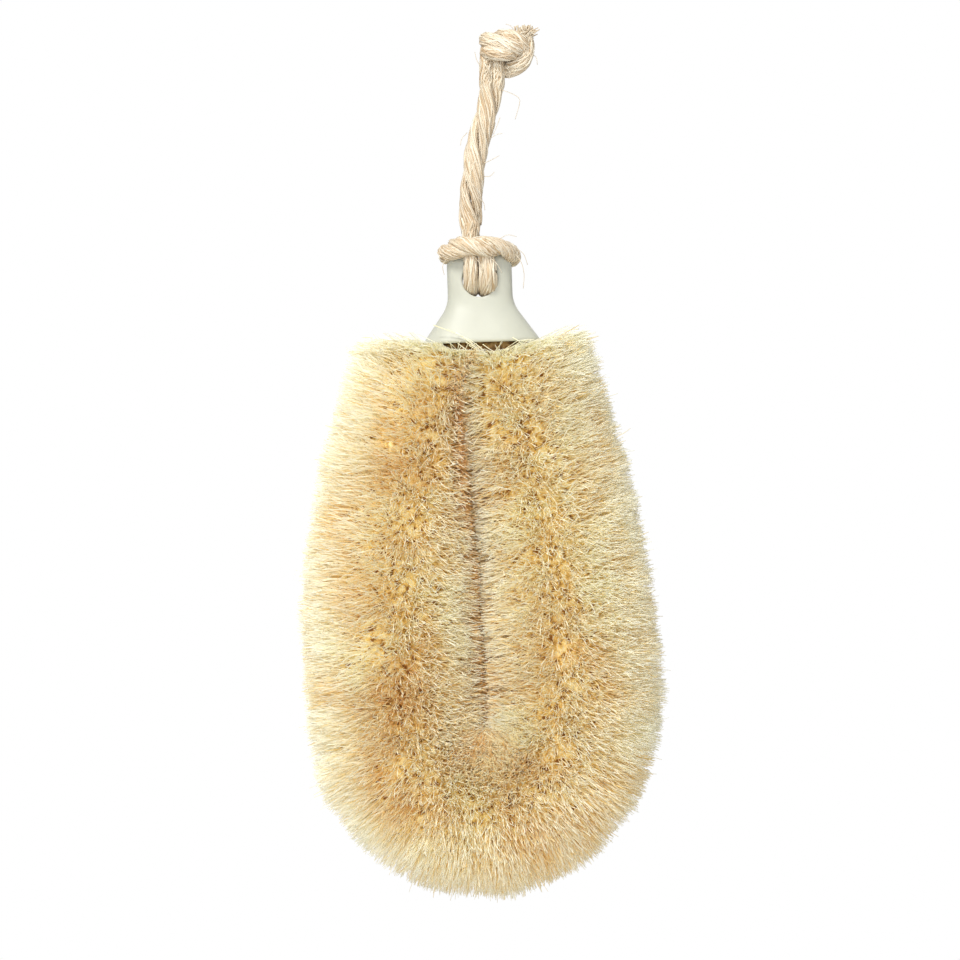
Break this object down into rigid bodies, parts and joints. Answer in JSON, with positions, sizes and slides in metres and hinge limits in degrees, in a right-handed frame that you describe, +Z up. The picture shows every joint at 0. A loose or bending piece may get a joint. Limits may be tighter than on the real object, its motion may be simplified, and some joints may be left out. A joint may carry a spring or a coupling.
{
  "type": "body dry brush",
  "caption": "U-shaped body dry brush of cut plant fibre held in a twisted wire core, with a moulded end cap and a knotted hanging cord.",
  "frame": {"origin": "hanging point, between the two legs of the cord just under its knot", "axes": "+Z up the cord, -Y towards the front face of the brush, +X to the right seen from the front"},
  "size_m": [0.0934, 0.0512, 0.2286],
  "materials": {
    "fibre": "cut natural plant fibre, straw coloured",
    "cord": "loosely laid natural fibre cord, pale cream",
    "cap_plastic": "cream moulded plastic, satin",
    "plug_plastic": "moulded plastic, matt",
    "core_steel": "drawn galvanised wire"
  },
  "bodies": {
    "hang_knot": {"cord_end_knot": "cord", "cord_tail_front": "cord", "cord_tail_back": "cord"},
    "cord_legs": {"cord_leg_a": "cord", "cord_leg_b": "cord"},
    "brush": {"end_cap": "cap_plastic", "cap_plug": "plug_plastic", "core_wire_a": "core_steel", "core_wire_b": "core_steel", "bristle_bundle_01": "fibre", "bristle_bundle_02": "fibre", "bristle_bundle_03": "fibre", "bristle_bundle_04": "fibre", "bristle_bundle_05": "fibre", "bristle_bundle_06": "fibre", "bristle_bundle_07": "fibre", "bristle_bundle_08": "fibre", "bristle_bundle_09": "fibre", "bristle_bundle_10": "fibre", "bristle_bundle_11": "fibre", "bristle_bundle_12": "fibre", "bristle_bundle_13": "fibre", "bristle_bundle_14": "fibre", "cord_hitch_band": "cord", "cord_hitch_throat": "cord"}
  },
  "joints": [
    {"name": "front_back_swing", "type": "hinge", "parent": "hang_knot", "child": "cord_legs", "pos_m": [0, 0, 0], "axis": [1, 0, 0], "range_deg": [-80, 80]},
    {"name": "side_swing", "type": "hinge", "parent": "cord_legs", "child": "brush", "pos_m": [-0.0058, 0, -0.0385], "axis": [0, 1, 0], "range_deg": [-60, 60]}
  ]
}
